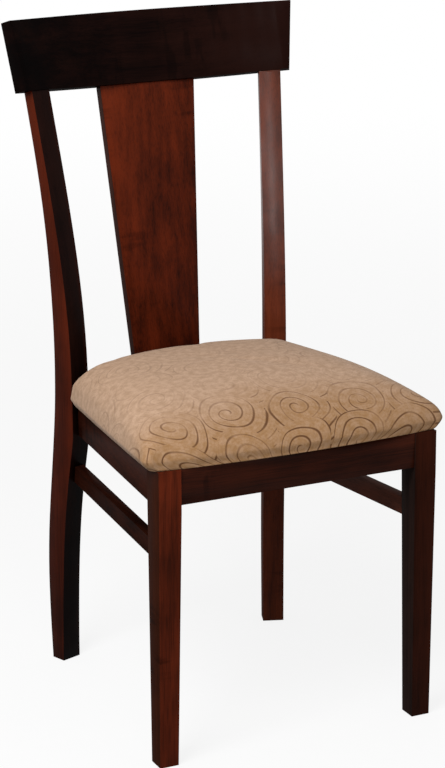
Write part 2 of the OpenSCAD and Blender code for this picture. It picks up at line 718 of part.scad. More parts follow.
// Fabric cover: over the foam, round the panel's edge and turned in under it
module seat_cover() color("tan") on_seat() difference() {
    hem_end = hem_line + [fabric_hem, fabric_hem, fabric_hem_rear];
    outside = concat(dome_rings(0), [for (u = flip(wall_shares)) wall_ring(0, u)]);
    inside = concat([for (u = wall_shares) wall_ring(fabric_t, u, fabric_t)], flip(dome_rings(fabric_t)));
    pillow(concat(outside, [ring(hem_end, 0), ring(hem_end, fabric_t)], inside),
           crown_point(0), crown_point(fabric_t), len(outside) + 2);
    for (spot = staple_spots) at_staple(spot) translate([-staple_w / 2, -staple_wire / 2, -1])
        cube([staple_w, staple_wire, fabric_t + 2]);
}

module seat_panel() color("tan") difference() {
    on_seat() translate([0, 0, fabric_t]) linear_extrude(panel_t)
        polygon([for (p = outline) drawn(p, hem_line + (fabric_t + cover_gap) * even)]);
    seat_screws();
    seat_staples();
}

// Thin cover under the panel, inside the rails and clear of the legs
dust_t = 0.6;
dust_gap = 2;
dust_rear_r = seat_rear_r - 10;
dust_front = front_inner + dust_gap;

module dust_plan() difference() {
    intersection() {
        polygon([for (p = [[1, dust_front], [-1, dust_front], [-1, 2 * post_y], [1, 2 * post_y]])
            [p[0] * (side_inner(p[1]) + dust_gap), p[1]]]);
        translate([0, back_yc]) circle(r = dust_rear_r, $fn = big_fn);
    }
    for (side = [-1, 1]) translate([side * front_w / 2, 0])
        square([2 * (leg_w + dust_gap), 2 * (leg_d + dust_gap)], center = true);
}

module dust_cover() color("#202020") difference() {
    on_seat() translate([0, 0, -dust_t]) linear_extrude(dust_t) dust_plan();
    for (spot = [mean(front_corners), mean(back_corners)], side = [-1, 1]) on_seat()
        translate([side * spot[0], spot[1], -1]) cylinder(d = screw_d + 2, h = 2, $fn = screw_fn);
    seat_staples();
}

// Staples through the dust cover and the turned-in fabric into the panel: [x, y, angle in plan]
staple_w = 10;
staple_wire = 0.8;
staple_leg = 7;
staple_in = 6;      // from the dust cover's edge
staple_step = 90;
staple_rear_r = dust_rear_r - staple_in;
staple_spots = concat(
    [for (i = [-1.5 : 1.5]) [staple_step * i, dust_front + staple_in, 0]],
    [for (side = [-1, 1], i = [-1 : 1]) let (y = half_depth + staple_step * i)
        [-side * (side_inner(y) + dust_gap + staple_in), y, 90 + side * rail_taper]],
    [for (a = [-8, 8]) [staple_rear_r * sin(a), back_yc + staple_rear_r * cos(a), -a]]);

module at_staple(spot) translate([spot[0], spot[1], 0]) rotate([0, 0, spot[2]]) children();

module staple() translate([-staple_w / 2, -staple_wire / 2, -dust_t - staple_wire]) {
    cube([staple_w, staple_wire, staple_wire]);
    for (x = [0, staple_w - staple_wire]) translate([x, 0, 0]) cube([staple_wire, staple_wire, staple_leg]);
}

module seat_staples() color("silver") on_seat() for (spot = staple_spots) at_staple(spot) staple();

place() left_front_leg();
place() right_front_leg();
place() left_back_post();
place() right_back_post();
place() front_seat_rail();
place() left_seat_rail();
place() right_seat_rail();
place() back_seat_rail();
place() left_stretcher();
place() right_stretcher();
place() crest_rail();
place() splat();
place() left_front_corner_block();
place() right_front_corner_block();
place() left_back_corner_block();
place() right_back_corner_block();
place() back_frame_dowels();
place() stretcher_dowels();
place() crest_dowels();
place() corner_block_screws();
place() seat_screws();
place() seat_panel();
place() seat_foam();
place() seat_cover();
place() dust_cover();
place() seat_staples();
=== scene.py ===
# %% [markdown]
# # A dining side chair: finish, cushion, light and camera
#
# The chair's wood frame comes from the construction model as it is. This notebook adds what that
# model leaves plain: the stain and the grain of the wood, the slightly eased edges, the padded seat
# in its scroll-patterned fabric, and a studio to look at it in. Everything is in metres, with X to
# the right seen from the front, Y to the back and Z up.

# %% Load the chair
import math

import bpy
from mathutils import Matrix, Vector


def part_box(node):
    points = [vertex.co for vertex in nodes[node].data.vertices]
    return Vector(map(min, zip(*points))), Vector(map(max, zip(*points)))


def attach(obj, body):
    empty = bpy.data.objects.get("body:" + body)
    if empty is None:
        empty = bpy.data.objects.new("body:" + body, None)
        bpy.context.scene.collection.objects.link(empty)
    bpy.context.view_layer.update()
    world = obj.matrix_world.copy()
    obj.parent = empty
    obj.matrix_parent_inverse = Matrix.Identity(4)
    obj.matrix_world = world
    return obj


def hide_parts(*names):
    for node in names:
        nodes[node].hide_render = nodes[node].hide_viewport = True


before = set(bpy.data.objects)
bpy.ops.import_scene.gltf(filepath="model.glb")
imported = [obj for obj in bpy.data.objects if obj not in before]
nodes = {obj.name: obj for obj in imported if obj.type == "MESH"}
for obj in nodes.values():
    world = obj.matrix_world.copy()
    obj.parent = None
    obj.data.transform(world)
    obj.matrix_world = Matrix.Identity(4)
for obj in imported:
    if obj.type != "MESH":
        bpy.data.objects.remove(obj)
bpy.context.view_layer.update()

# %% [markdown]
# ## Camera
#
# The view was worked out from the picture by matching some sixty corners and edges of the chair. It
# is a long lens some four metres away, at about eye height and to the left of the chair, so the
# verticals hardly converge. Turn, dip and roll are the angles of its line of sight, and from them
# come its own three directions, which make up its matrix. The picture was cropped off its optical
# centre by a few pixels, which the camera's shift takes up.

# %% Place the camera
STANDPOINT = (-1.5522, -3.3077, 1.5502)
SENSOR, FOCAL_PIXELS, PICTURE_HEIGHT, OFF_CENTRE = 36, 2566.7, 768, (-12.2, -1.6)
turn, dip, roll = math.radians(25.56), math.radians(16.48), math.radians(-0.33)
forward = Vector((math.sin(turn) * math.cos(dip), math.cos(turn) * math.cos(dip), -math.sin(dip)))
level_right = Vector((math.cos(turn), -math.sin(turn), 0))
level_up = level_right.cross(forward)
right = level_right * math.cos(roll) + level_up * math.sin(roll)
up = level_up * math.cos(roll) - level_right * math.sin(roll)

camera_data = bpy.data.cameras.new("view")
camera_data.sensor_width = SENSOR
camera_data.lens = FOCAL_PIXELS * SENSOR / PICTURE_HEIGHT
camera_data.shift_x = OFF_CENTRE[0] / PICTURE_HEIGHT
camera_data.shift_y = OFF_CENTRE[1] / PICTURE_HEIGHT
camera = bpy.data.objects.new("view", camera_data)
bpy.context.scene.collection.objects.link(camera)
directions = Matrix((right, up, -forward)).transposed()
camera.matrix_world = Matrix.Translation(STANDPOINT) @ directions.to_4x4()
bpy.context.scene.camera = camera
print("lens", round(camera_data.lens, 1), "mm, distance", round(camera.location.length, 2), "m")

# %% [markdown]
# ## Writing shaders as sums
#
# A finish is a graph of nodes, and a graph is slow to read. The small class below wraps one output
# of a node and gives it Python's operators, so that `dark * (1 - mask)` adds the Math nodes by
# itself. Numbers go through Math nodes, colours and positions through Vector Math, because a Math
# node would turn a colour grey. Any other node comes from one method of the graph, which takes the
# node's type, its settings and what its sockets get.

# %% Sockets with operators
class Socket:
    """One output of a node."""

    def __init__(self, graph, output):
        self.graph, self.output = graph, output
        self.is_vector = output.type in ("VECTOR", "RGBA")

    def combine(self, operation, other=None, swap=False):
        vector = (self.is_vector or isinstance(other, tuple)
                  or (isinstance(other, Socket) and other.is_vector))
        kind = "ShaderNodeVectorMath" if vector else "ShaderNodeMath"
        pair = [other, self] if swap else [self, other]
        values = {i: v for i, v in enumerate(pair) if v is not None}
        return self.graph.add(kind, {"operation": operation}, values)

    def __add__(self, other): return self.combine("ADD", other)
    def __radd__(self, other): return self.combine("ADD", other, swap=True)
    def __sub__(self, other): return self.combine("SUBTRACT", other)
    def __rsub__(self, other): return self.combine("SUBTRACT", other, swap=True)
    def __mul__(self, other): return self.combine("MULTIPLY", other)
    def __rmul__(self, other): return self.combine("MULTIPLY", other, swap=True)
    def __truediv__(self, other): return self.combine("DIVIDE", other)
    def __rtruediv__(self, other): return self.combine("DIVIDE", other, swap=True)
    def __pow__(self, other): return self.combine("POWER", other)
    def __rpow__(self, other): return self.combine("POWER", other, swap=True)
    def __abs__(self): return self.combine("ABSOLUTE")
    def fraction(self): return self.combine("FRACT")
    def floor(self): return self.combine("FLOOR")
    def nearest(self): return self.combine("ROUND")
    def below(self, other): return self.combine("LESS_THAN", other)
    def larger(self, other): return self.combine("MAXIMUM", other)


print("besides operators, a socket has:", ", ".join(n for n in vars(Socket) if not n.startswith("_")))

# %% Graphs of nodes
class Graph:
    """A tree of nodes, such as the world's."""

    def __init__(self, tree):
        self.tree = tree

    def add(self, kind, settings=None, values=None, output=0):
        """Adds a node: its settings first, then its sockets' values or links. Gives one output."""
        node = self.tree.nodes.new(kind)
        for name, value in (settings or {}).items():
            setattr(node, name, value)
        for name, value in (values or {}).items():
            self.connect(node.inputs[name], value)
        return Socket(self, node.outputs[output])

    def connect(self, socket, value):
        if isinstance(value, Socket):
            self.tree.links.new(value.output, socket)
        elif socket.type == "VECTOR" and isinstance(value, (int, float)):
            socket.default_value = (value, value, value)
        elif socket.type == "RGBA":
            socket.default_value = (*value, 1)
        else:
            socket.default_value = value

    def place(self):
        """The point on the chair, in metres."""
        return self.add("ShaderNodeTexCoord", output="Object")

    def axes(self, point):
        """The point's X, Y and Z."""
        first = self.add("ShaderNodeSeparateXYZ", values={0: point})
        return [Socket(self, output) for output in first.output.node.outputs]

    def point(self, x, y, z):
        return self.add("ShaderNodeCombineXYZ", values={0: x, 1: y, 2: z})

    def noise(self, point, detail=3.0, roughness=0.5):
        """Soft noise with about one wave to a unit of the point."""
        return self.add("ShaderNodeTexNoise", values={"Vector": point, "Scale": 1.0, "Detail": detail,
                                                      "Roughness": roughness})

    def step(self, value, low, high, start=0.0, end=1.0):
        """Rises smoothly from start at low to end at high."""
        return self.add("ShaderNodeMapRange", {"interpolation_type": "SMOOTHSTEP"},
                        {"Value": value, "From Min": low, "From Max": high,
                         "To Min": start, "To Max": end})

    def mix(self, share, first, second):
        return self.add("ShaderNodeMix", {"data_type": "RGBA"},
                        {"Factor": share, 6: first, 7: second}, output=2)

    def bump(self, height, distance, strength=1.0):
        return self.add("ShaderNodeBump", values={"Height": height, "Distance": distance,
                                                  "Strength": strength}, output="Normal")


class Finish(Graph):
    """A material and the nodes in it."""

    def __init__(self, name):
        self.material = bpy.data.materials.new(name)
        self.material.use_nodes = True
        super().__init__(self.material.node_tree)
        self.shader = self.tree.nodes["Principled BSDF"]

    def show(self, **sockets):
        """Sets the shader's sockets, with spaces in their names written as underscores."""
        for name, value in sockets.items():
            self.connect(self.shader.inputs[name.replace("_", " ")], value)
        return self.material


print("a graph has:", ", ".join(name for name in vars(Graph) if not name.startswith("_")))

# %% Colours
def paint(red, green, blue):
    """A colour as a screen shows it, turned into the linear light that shaders use."""
    return tuple((v / 255 / 12.92) if v <= 10 else ((v / 255 + 0.055) / 1.055) ** 2.4
                 for v in (red, green, blue))


print("a mid grey is", [round(v, 3) for v in paint(128, 128, 128)])

# %% [markdown]
# ## Stained wood
#
# The chair is made of a close-grained wood, stained a deep red brown and lacquered to a low satin
# sheen. Up close the stain sits darker in the pores, in long fine streaks along each piece, over
# slow changes from red to near black and some cloudy patches. All of it can be noise, and most of
# that is stretched along the piece: slow bands, streaks some millimetres wide, and pores about a
# millimetre wide. Here and there the grain swirls round a small knot and shows as a short dark bar
# across it. Each piece gets its own direction and its own place in the noise, so that no two pieces
# match.
#
# Some things are particular to a piece. The stain often deepens towards one end, which is a drift of
# so much per metre; on the crest rail the lighter right end is painted sheen. The faces that look left
# and right can have a stain of their own, lighter or darker than the front: that is painted light and
# painted shade on those faces. The faces that look back can have a plain stain of their own. And a
# post that hands and backs have rubbed keeps its full gloss only over part of its height, so the
# lacquer there rises and fades between three heights.

# %% The wood finish
WIDE, DEEP, TALL = 0, 1, 2
BANDS, STREAKS, PORES, CLOUDS = 24, 130, 750, 20


def stained_wood(piece, grain, light, dark, seed, lacquer=0.08, drift=(0, 0, 0),
                 sides=None, back=None, wear=None):
    """light and dark are the ends of the stain; sides is a pair of painted light or shade for faces
    that look left and right, back a plain pair for faces that look back.
    """
    wood = Finish(piece + "_stain")
    place = wood.place()
    shift = (seed * 1.37, seed * 0.71, seed * 2.11)
    x, y, z = wood.axes(place + shift)
    across = [v for i, v in enumerate((x, y, z)) if i != grain]
    length = (x, y, z)[grain]
    wander = wood.noise(wood.point(length * 3.5, across[0] * 9, across[1] * 9), detail=2) - 0.5
    side, depth = across[0] + wander * 0.014, across[1] + wander * 0.012
    bands = wood.noise(wood.point(side * BANDS, depth * BANDS, length * 1.8), detail=2)
    streaks = wood.noise(wood.point(side * STREAKS, depth * STREAKS, length * 3.4), detail=3)
    pores = wood.noise(wood.point(side * PORES, depth * PORES, length * 18), detail=2)
    clouds = wood.noise(wood.point(side * CLOUDS, depth * CLOUDS, length * 17), detail=2)
    low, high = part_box(piece)
    middle = tuple((a + b) / 2 for a, b in zip(low, high))
    slope = wood.add("ShaderNodeVectorMath", {"operation": "DOT_PRODUCT"},
                     {0: place - middle, 1: drift}, output="Value")
    tone = (0.5 + (bands - 0.5) * 0.9 + (clouds - 0.5) * 0.5 + (streaks - 0.5) * 0.55
            + (pores - 0.5) * 0.7 + slope)
    share = wood.step(tone, 0.0, 1.0)
    stain = wood.mix(share, dark, light)
    nx, ny, _ = wood.axes(wood.add("ShaderNodeTexCoord", output="Normal"))
    if back:
        stain = wood.mix(wood.step(ny, 0.3, 0.6), stain, wood.mix(share, *back))
    # Painted light and shade: the faces that look left and right get the sides pair.
    if sides:
        stain = wood.mix(wood.step(abs(nx), 0.45, 0.75), stain, wood.mix(share, *sides))
    knots = wood.noise(wood.point(side * 14, depth * 14, length * 70), detail=2)
    spots = wood.noise(wood.point(across[0] * 7, across[1] * 7, length * 5), detail=0)
    bars = wood.step(knots, 0.50, 0.66) * wood.step(spots, 0.60, 0.70)
    pits = wood.step(pores, 0.56, 0.74)
    colour = stain * (1 - (pits * 0.3).larger(bars * 0.4))
    surface = wood.bump(pores * 0.6 + streaks * 0.4, 0.00012, 0.4)
    if wear:
        height = z - shift[TALL]
        foot, best, top = wear
        lacquer = wood.step(height, foot, best, 0.08, lacquer) * wood.step(height, best, top, 1.0, 0.5)
    return wood.show(Base_Color=colour, Roughness=0.34 + streaks * 0.08 + pits * 0.1, Normal=surface,
                     Specular_IOR_Level=0.0, Coat_Weight=lacquer, Coat_Roughness=0.32)


print("bands are about", round(1000 / BANDS), "mm wide, streaks", round(1000 / STREAKS), "mm and pores",
      round(1000 / PORES, 1), "mm")

# %% [markdown]
# ## Which stain goes where
#
# Seen side by side, the splat and the left front leg are the reddest, the rails and stretchers are
# browner, and the crest rail and the left post are nearly black, with some red at the crest rail's
# right end and on the post's sides. Part of that is painted light and shade: the near black of the
# crest rail and the left post is a dark stain deepened with painted shade, the crest rail's red right
# end is painted sheen, the post's redder sides are painted light, the left front leg's stain is painted
# lighter than the right one's where the lamp's light is stronger, and the side faces of the legs and
# the splat carry painted shade. The right post is the glossiest piece. The backs of the crest rail and
# the left post don't show, so they are taken to be as brown as the rails. The grain runs along each
# piece: up the legs, posts and splat, across the front, back and crest rails, and front to back in the
# sides.

# %% Stain the frame
red_stain = dict(light=paint(102, 37, 16), dark=paint(34, 11, 6))
# Painted light: the left front leg's stain is painted lighter than the right leg's, where the lamp's
# light is stronger.
warm_stain_and_painted_light = dict(light=paint(120, 47, 25), dark=paint(50, 19, 10))
brown_stain = dict(light=paint(64, 27, 15), dark=paint(20, 7, 4))
# Painted shade: this near-black stain darkens the crest rail and the left post's front beyond their own
# dark stain.
black_stain_and_shade = dict(light=paint(30, 12, 8), dark=paint(4, 1, 1))
# Painted light: the left post's side faces are painted redder and lighter than its front.
painted_light_sides = (paint(36, 11, 5), paint(84, 30, 14))
brown_back = (brown_stain["dark"], brown_stain["light"])
# The sides pairs are painted light and shade: darker on the side faces of the splat and front legs,
# lighter on the left post's.
frame_stains = {
    "splat": dict(grain=TALL, **red_stain, drift=(-0.8, 0, 0.5),
                  sides=(paint(28, 13, 9), paint(58, 29, 21))),
    "left_front_leg": dict(grain=TALL, **warm_stain_and_painted_light, lacquer=0.05,
                           sides=(paint(34, 14, 7), paint(66, 30, 16))),
    "right_front_leg": dict(grain=TALL, **brown_stain, lacquer=0.05,
                            sides=(paint(16, 10, 9), paint(42, 28, 24))),
    "left_back_post": dict(grain=TALL, **black_stain_and_shade, drift=(0, 0, 0.75),
                           sides=painted_light_sides, back=brown_back),
    "right_back_post": dict(grain=TALL, light=paint(104, 46, 26), dark=paint(48, 20, 12),
                            lacquer=0.85, wear=(0.50, 0.72, 0.92), drift=(0, 0, 0.1)),
    # The crest rail's drift lightens its right end: painted sheen.
    "crest_rail": dict(grain=WIDE, **black_stain_and_shade, lacquer=0.05, drift=(1.8, 0, 0), back=brown_back),
    "front_seat_rail": dict(grain=WIDE, light=paint(72, 31, 18), dark=paint(22, 8, 5)),
    "back_seat_rail": dict(grain=WIDE, **brown_stain),
    "left_seat_rail": dict(grain=DEEP, **brown_stain),
    "right_seat_rail": dict(grain=DEEP, **brown_stain),
    "left_stretcher": dict(grain=DEEP, light=paint(57, 24, 13), dark=paint(17, 6, 4), lacquer=0.04),
    "right_stretcher": dict(grain=DEEP, light=paint(108, 59, 44), dark=paint(47, 26, 20)),
}


def dress(name, material):
    """Gives a construction piece its material."""
    mesh = nodes[name].data
    mesh.materials.clear()
    mesh.materials.append(material)


for seed, (name, stain) in enumerate(frame_stains.items()):
    dress(name, stained_wood(name, seed=seed, **stain))
print("stained:", ", ".join(frame_stains))

# %% [markdown]
# ## Eased edges
#
# A joiner breaks every outer edge with sandpaper, so it catches a thin line of light. A bevel of
# under a millimetre does that. The loaded meshes have their corners split for shading, so the
# corners are welded first, or the bevel would find no edges.

# %% Ease the edges
EASED, SAME_POINT, SHARP = 0.0008, 0.00001, math.radians(40)


def ease(name):
    piece = nodes[name]
    weld = piece.modifiers.new("weld", "WELD")
    weld.merge_threshold = SAME_POINT
    bevel = piece.modifiers.new("eased_edges", "BEVEL")
    bevel.width, bevel.segments = EASED, 2
    bevel.limit_method, bevel.angle_limit = "ANGLE", SHARP
    bevel.harden_normals = True
    for face in piece.data.polygons:
        face.use_smooth = True


for name in frame_stains:
    ease(name)
print("eased the edges of", len(frame_stains), "pieces by", EASED * 1000, "mm")

# %% [markdown]
# ## Pieces under the seat
#
# Corner blocks are sawn from pale softwood and left bare, the dowels are birch, the seat panel is
# plywood, the screws and staples are steel, and a black non-woven cloth keeps the dust in. Only
# someone who turns the chair over sees them, but they get the same care: grain for the wood, a
# speckle of fibres for the cloth, a brushed look for the steel.

# %% Bare wood, plywood, steel and dust cloth
def bare_wood(name, light, dark, seed):
    wood = Finish(name)
    length, side, depth = wood.axes(wood.place() + (seed, seed * 0.6, seed * 1.9))
    rings = wood.noise(wood.point(side * 60, depth * 60, length * 4), detail=3)
    fibres = wood.noise(wood.point(side * 700, depth * 700, length * 30), detail=2)
    colour = wood.mix(wood.step(rings * 0.7 + fibres * 0.3, 0.35, 0.65), dark, light)
    return wood.show(Base_Color=colour, Roughness=0.6 + fibres * 0.2,
                     Normal=wood.bump(fibres, 0.0002, 0.5), Specular_IOR_Level=0.3)


def dull_steel(name):
    steel = Finish(name)
    grain = steel.noise(steel.place() * 2500, detail=2)
    colour = steel.mix(grain, paint(150, 150, 152), paint(196, 196, 196))
    return steel.show(Base_Color=colour, Metallic=1.0, Roughness=0.3 + grain * 0.25)


def dust_cloth(name):
    cloth = Finish(name)
    fibres = cloth.noise(cloth.place() * 900, detail=4, roughness=0.7)
    pinholes = cloth.step(cloth.noise(cloth.place() * 2200, detail=1), 0.45, 0.6)
    colour = cloth.mix(fibres * 0.6 + pinholes * 0.2, paint(18, 18, 19), paint(52, 52, 54))
    return cloth.show(Base_Color=colour, Roughness=0.92, Normal=cloth.bump(fibres, 0.0003, 0.7))


softwood = (paint(214, 180, 134), paint(182, 140, 92))
birch = (paint(220, 194, 152), paint(196, 162, 116))
plywood = (paint(208, 176, 132), paint(176, 138, 92))
corners = ["left_front", "right_front", "left_back", "right_back"]
dowels = ["back_frame_dowels", "stretcher_dowels", "crest_dowels"]
for seed, corner in enumerate(corners):
    name = corner + "_corner_block"
    dress(name, bare_wood(name + "_wood", *softwood, seed + 3))
for seed, name in enumerate(dowels):
    dress(name, bare_wood(name + "_wood", *birch, seed + 11))
dress("seat_panel", bare_wood("panel_plywood", *plywood, 23))
for name in ["corner_block_screws", "seat_screws", "seat_staples"]:
    dress(name, dull_steel(name + "_steel"))
dress("dust_cover", dust_cloth("dust_cover_cloth"))
print("finishes so far:", len(bpy.data.materials))

# %% [markdown]
# ## The seat's shape
#
# The seat is a slab of foam on plywood, with fabric pulled over it and stapled underneath. Pulled
# fabric gives it a nearly flat, crowned top that turns over in a tight roll into steep sides, falls
# away to the front, and follows the curve of the back. The construction model has it as a coarse
# solid. Here the same shape is drawn again with cells of a few millimetres, so that it can be
# simulated. Its plan is a closed loop of points: a bowed front, sides that run in, and an arc at the
# back.

# %% Seat outline in plan
SEAT_HEIGHT, SEAT_TILT, ORIGIN_Y = 0.442, math.radians(2.6), 0.27511
SIDE_LINE, LEG_DEPTH, SIDE_BOW, SIDE_ANGLE = 0.235, 0.0395, 0.002, 7.3
SIDE_RUN = math.tan(math.radians(SIDE_ANGLE))
FRONT, BOW, FRONT_RADIUS, REAR_RADIUS = -0.012, 0.014, 0.015, 0.010
BACK_CENTRE, BACK_RADIUS = -0.00412, 0.44092
REAR = BACK_CENTRE + BACK_RADIUS
HALF_DEPTH = (REAR - FRONT) / 2
CROWN = Vector((0, 0.240))


def side_x(y):
    bow = SIDE_BOW * ((y - FRONT - HALF_DEPTH) / HALF_DEPTH) ** 2
    return SIDE_LINE - (y - LEG_DEPTH) * SIDE_RUN - bow


def corner_x(y, radius):
    return side_x(y) - radius / math.cos(math.radians(SIDE_ANGLE))


def half_outline(steps=24):
    """Right-hand half of the outline from the middle of the front, and where its two corners are."""
    corner_y = FRONT + BOW + FRONT_RADIUS
    centre = Vector((corner_x(corner_y, FRONT_RADIUS), corner_y))
    points = [Vector((centre.x * i / steps, FRONT + BOW * (i / steps) ** 2)) for i in range(steps)]
    front_corner = len(points) + steps // 2
    for i in range(steps + 1):
        a = math.radians(-90 + (90 + SIDE_ANGLE) * i / steps)
        points.append(centre + FRONT_RADIUS * Vector((math.cos(a), math.sin(a))))
    inner = BACK_RADIUS - REAR_RADIUS
    rear_y = 0.4
    for _ in range(12):
        rear_y = BACK_CENTRE + math.sqrt(inner ** 2 - corner_x(rear_y, REAR_RADIUS) ** 2)
    rear = Vector((corner_x(rear_y, REAR_RADIUS), rear_y))
    points += [Vector((side_x(y), y)) for y in
               (centre.y + (rear.y - centre.y) * i / steps for i in range(1, steps))]
    turned = math.degrees(math.asin(rear.x / inner))
    rear_corner = len(points) + steps // 2
    for i in range(steps + 1):
        a = math.radians(SIDE_ANGLE + (90 - SIDE_ANGLE - turned) * i / steps)
        points.append(rear + REAR_RADIUS * Vector((math.cos(a), math.sin(a))))
    points += [Vector((0, BACK_CENTRE)) + BACK_RADIUS * Vector((math.sin(a), math.cos(a))) for a in
               (math.radians(turned) * (1 - i / steps) for i in range(1, steps + 1))]
    return points, front_corner, rear_corner


right_half, front_corner, rear_corner = half_outline()
outline = right_half + [Vector((-p.x, p.y)) for p in right_half[-2:0:-1]]
print("outline of", len(outline), "points,", round(max(p.x for p in outline) * 2000), "mm wide")

# %% [markdown]
# ## From outline to surface
#
# A point of the top lies some share of the way from the crown to the outline. That share alone gives
# its height: nearly level over the middle, then down in a roll near the edge. Two more terms lower
# the front and let the four corners sag. A grid over the top, closer near the edges, keeps the cells
# even along the surface, and rows of the same points go on down the sides, round the panel's edge
# and in underneath, as the real fabric does.

# %% Heights of the top
EDGE_HEIGHT, CROWN_HEIGHT, WIDEST = 0.074, 0.084, 0.0152
FALL, FALL_CURVE, SAG, ROUNDNESS = 0.033, 2.5, 0.003, 5.5
fan = [(math.atan2(p.y - CROWN.y, p.x - CROWN.x), p) for p in outline]
fan.sort(key=lambda item: item[0])


def share_out(point):
    """The share of the way from the crown to the outline at a point, and the outline's point there."""
    reach = point - CROWN
    if reach.length < 1e-6:
        return 0.0, outline[0]
    angle = math.atan2(reach.y, reach.x)
    place = next((i for i, item in enumerate(fan) if item[0] > angle), 0)
    a, b = fan[place - 1][1] - CROWN, fan[place][1] - CROWN
    edge = b - a
    cross = reach.x * edge.y - reach.y * edge.x
    hit = (a.x * edge.y - a.y * edge.x) / cross
    return min(1.0, 1 / hit), CROWN + reach * hit


def top_height(point):
    out, edge_point = share_out(point)
    q = 1 - out
    rise = math.sqrt(max(0.0, 1 - (1 - q) ** ROUNDNESS))
    fall = FALL * (max(0.0, CROWN.y - point.y) / (CROWN.y - FRONT)) ** FALL_CURVE
    sag = SAG * (edge_point.x / SIDE_LINE * (edge_point.y - FRONT - HALF_DEPTH) / HALF_DEPTH) ** 2
    return (WIDEST + (EDGE_HEIGHT - WIDEST) * rise + (CROWN_HEIGHT - EDGE_HEIGHT) * (1 - (1 - q) ** 2)
            - rise * (fall + sag))


print("height at the crown", round(top_height(CROWN + Vector((0, 0.001))) * 1000), "mm, near the front",
      round(top_height(Vector((0, 0.03))) * 1000), "mm")

# %% Even steps along the surface
def even_shares(count, edge, samples=400):
    """Shares of the way in from the edge, spaced evenly along the surface, from 0 to 1."""
    line = [CROWN.lerp(edge, 1 - i / samples) for i in range(samples + 1)]
    points = [Vector((p.x, p.y, top_height(p))) for p in line]
    run = [0.0]
    for a, b in zip(points, points[1:]):
        run.append(run[-1] + (b - a).length)
    shares, k = [], 0
    for i in range(count + 1):
        target = run[-1] * i / count
        while k < samples - 1 and run[k + 1] < target:
            k += 1
        shares.append((k + (target - run[k]) / (run[k + 1] - run[k])) / samples)
    return shares


HALF_CELLS = 26
inward = even_shares(HALF_CELLS, Vector((SIDE_LINE - 0.02, CROWN.y)))
steps = [s / 2 for s in inward] + [1 - s / 2 for s in inward[-2::-1]]
COUNT = len(steps)
print("grid of", COUNT, "by", COUNT, "points; first steps",
      [round(s * 2000 * SIDE_LINE, 1) for s in steps[:4]], "mm")

# %% Grid over the top
def along(points, share):
    """The point at a share of the length of a line of points."""
    lengths = [0.0]
    for a, b in zip(points, points[1:]):
        lengths.append(lengths[-1] + (b - a).length)
    target = share * lengths[-1]
    for k in range(len(points) - 1):
        if lengths[k + 1] >= target - 1e-12:
            t = (target - lengths[k]) / max(1e-12, lengths[k + 1] - lengths[k])
            return points[k].lerp(points[k + 1], min(1.0, t))
    return points[-1]


def mirror(points):
    return [Vector((-p.x, p.y)) for p in points]


front_line = mirror(right_half[1:front_corner + 1])[::-1] + right_half[:front_corner + 1]
right_line = right_half[front_corner:rear_corner + 1]
back_line = mirror(right_half[rear_corner:-1]) + right_half[rear_corner:][::-1]
left_line = mirror(right_line)
sides = {name: [along(line, s) for s in steps] for name, line in
         dict(front=front_line, right=right_line, back=back_line, left=left_line).items()}


def patch(i, j):
    """The four sides blended: i counts from the left, j from the front."""
    u, v = steps[i], steps[j]
    straight = (sides["front"][i] * (1 - v) + sides["back"][i] * v
                + sides["left"][j] * (1 - u) + sides["right"][j] * u)
    corners = (sides["front"][0] * (1 - u) * (1 - v) + sides["front"][-1] * u * (1 - v)
               + sides["back"][0] * (1 - u) * v + sides["back"][-1] * u * v)
    return straight - corners


loop = ([(i, 0) for i in range(COUNT - 1)] + [(COUNT - 1, j) for j in range(COUNT - 1)]
        + [(i, COUNT - 1) for i in range(COUNT - 1, 0, -1)] + [(0, j) for j in range(COUNT - 1, 0, -1)])
print("the grid's rim has", len(loop), "points")

# %% [markdown]
# ## Sewing the skin together
#
# The rows below the rim repeat the rim's points, drawn in by a few millimetres each. They go down
# the side, under the panel's edge and 44 mm in, or 21 mm at the rear, then turn back above the fabric
# to leave the panel its own space. The cushion ends as one closed form with a hollow that the panel
# fills. The length of fabric from the crown to each point is summed up too: it says where on the
# flat cloth that point was, and the scrolls need that, or they would stretch down the sides.

# %% Rows below the rim
HEM_IN, HEM_REACH = (0.012, 0.003, 0.001), (0.044, 0.044, 0.021)
FABRIC, GAP, PANEL_TOP, EDGE_ROLL = 0.0012, 0.0015, 0.0135, 0.0008


def drawn(point, draw):
    """A point of the outline drawn in by (at the sides, at the front, at the rear)."""
    return Vector((point.x * (1 - draw[0] / SIDE_LINE),
                   FRONT + draw[1] + (point.y - FRONT) * (1 - (draw[1] + draw[2]) / (2 * HALF_DEPTH))))


def plus(draw, extra):
    return tuple(d + extra for d in draw)


rows = []
for u in (0.86, 0.70, 0.52, 0.34, 0.17, 0.04):
    rows.append((tuple(d * (1 - math.sin(math.radians(90 * u))) for d in HEM_IN), WIDEST * u))
rows.append((plus(HEM_IN, EDGE_ROLL), 0.0))
OUTSIDE_ROWS = len(rows)
hem_end = tuple(a + b for a, b in zip(HEM_IN, HEM_REACH))
for share in (0.25, 0.6, 1.0):
    rows.append((tuple(a + (b - a) * share for a, b in zip(HEM_IN, hem_end)), 0.0))
rows.append((hem_end, FABRIC))
rows.append((plus(HEM_IN, GAP + 0.0005), FABRIC))
rows.append((plus(HEM_IN, GAP), PANEL_TOP))
print("rows below the rim:", len(rows))

# %% Build the skin
def on_chair(x, y, height):
    """From the seat's own plane to the chair's frame."""
    return Vector((x, y * math.cos(SEAT_TILT) + height * math.sin(SEAT_TILT) - ORIGIN_Y,
                   SEAT_HEIGHT - y * math.sin(SEAT_TILT) + height * math.cos(SEAT_TILT)))


